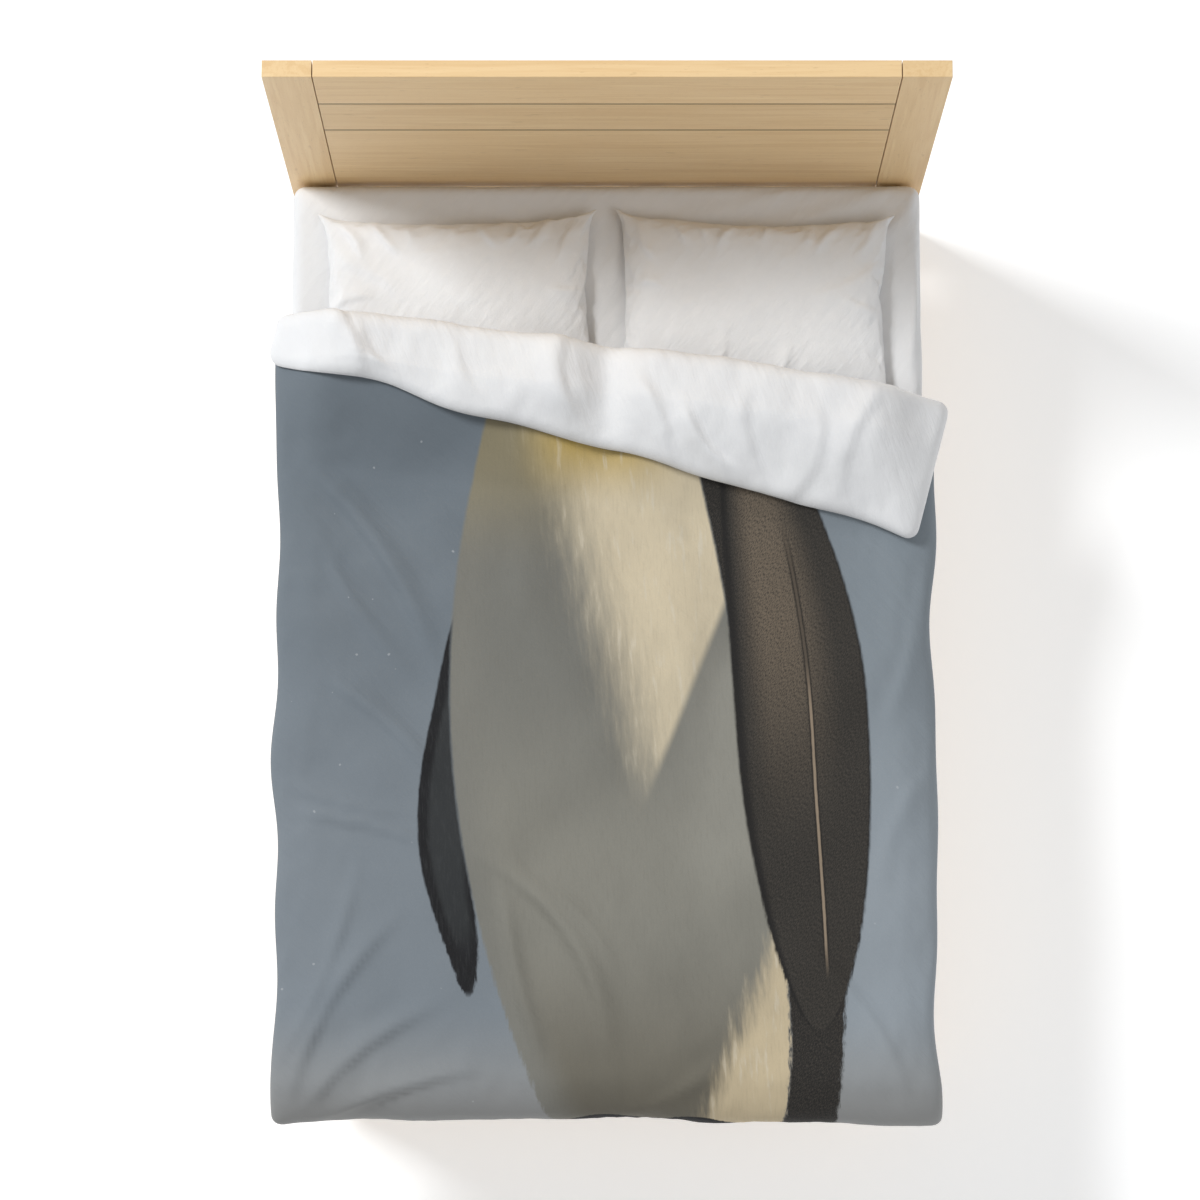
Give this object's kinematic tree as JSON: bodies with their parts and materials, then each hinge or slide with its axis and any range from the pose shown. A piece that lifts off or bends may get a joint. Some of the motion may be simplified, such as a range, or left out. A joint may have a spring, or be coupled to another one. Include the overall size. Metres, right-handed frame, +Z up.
{
  "type": "double bed with printed duvet",
  "caption": "Made-up double bed: timber frame with a plank headboard, mattress, pillows and a printed duvet turned back at the head end.",
  "frame": {"origin": "on the floor, under the middle of the bed's overall box", "axes": "+Z is up, +Y points from the foot to the headboard, +X is to the right for a person at the foot who looks at the headboard"},
  "size_m": [1.444, 2.039, 1.3],
  "materials": {
    "maple": "satin",
    "pine": "matte",
    "steel": "satin",
    "felt": "matte",
    "filling": "matte",
    "ticking": "matte",
    "sheet_cloth": "matte",
    "pillow_cloth": "matte",
    "plain_cloth": "matte",
    "printed_cloth": "matte",
    "tape": "matte",
    "zip_metal": "satin"
  },
  "bodies": {
    "bed_frame": {"headboard_post_left": "maple", "headboard_post_right": "maple", "headboard_plank_top": "maple", "headboard_plank_middle": "maple", "headboard_panel_lower": "maple", "headboard_cross_rail": "maple", "headboard_batten_left": "pine", "headboard_batten_right": "pine", "headboard_dowels": "pine", "batten_screws": "steel", "side_rail_left": "maple", "side_rail_right": "maple", "foot_rail": "maple", "foot_leg_left": "maple", "foot_leg_right": "maple", "slat_ledger_left": "pine", "slat_ledger_right": "pine", "centre_beam": "pine", "centre_leg_head": "maple", "centre_leg_foot": "maple", "beam_brackets": "steel", "slat_01": "pine", "slat_02": "pine", "slat_03": "pine", "slat_04": "pine", "slat_05": "pine", "slat_06": "pine", "slat_07": "pine", "slat_08": "pine", "slat_09": "pine", "slat_10": "pine", "slat_11": "pine", "slat_12": "pine", "slat_13": "pine", "slat_screws": "steel", "bed_bolts": "steel", "barrel_nuts": "steel", "leg_screws": "steel", "glides": "felt"},
    "mattress": {"mattress_core": "filling", "mattress_comfort_layer": "filling", "mattress_cover": "ticking", "mattress_base_panel": "ticking", "fitted_sheet": "sheet_cloth", "sheet_elastic": "tape"},
    "pillow_left": {"pillow_left_filling": "filling", "pillow_left_case_front": "pillow_cloth", "pillow_left_case_back": "pillow_cloth"},
    "pillow_right": {"pillow_right_filling": "filling", "pillow_right_case_front": "pillow_cloth", "pillow_right_case_back": "pillow_cloth"},
    "duvet": {"duvet_filling": "filling", "duvet_cover_print": "printed_cloth", "duvet_cover_back": "plain_cloth", "zip_tape": "tape"},
    "turnback": {"turnback_filling": "filling", "turnback_cover_print": "printed_cloth", "turnback_cover_back": "plain_cloth"},
    "zip": {"zip_slider": "zip_metal"}
  },
  "joints": [
    {"name": "mattress_lift", "type": "slide", "parent": "bed_frame", "child": "mattress", "axis": [0, 0, 1], "range_m": [0, 0.3]},
    {"name": "duvet_lift", "type": "slide", "parent": "mattress", "child": "duvet", "axis": [0, 0, 1], "range_m": [0, 0.6]},
    {"name": "pillow_left_lift", "type": "slide", "parent": "mattress", "child": "pillow_left", "axis": [0, 0, 1], "range_m": [0, 0.3]},
    {"name": "pillow_right_lift", "type": "slide", "parent": "mattress", "child": "pillow_right", "axis": [0, 0, 1], "range_m": [0, 0.3]},
    {"name": "turnback_hinge", "type": "hinge", "parent": "duvet", "child": "turnback", "pos_m": [0, 0.5575, 0.6492], "axis": [-0.9912, 0.1323, 0], "range_deg": [0, 90]},
    {"name": "zip_slide", "type": "slide", "parent": "duvet", "child": "zip", "axis": [1, 0, 0], "range_m": [0, 1.176]}
  ],
  "couplings": [
    {"joint": "pillow_left_lift", "follows": "duvet_lift", "ratio": 0.5},
    {"joint": "pillow_right_lift", "follows": "duvet_lift", "ratio": 0.5}
  ]
}
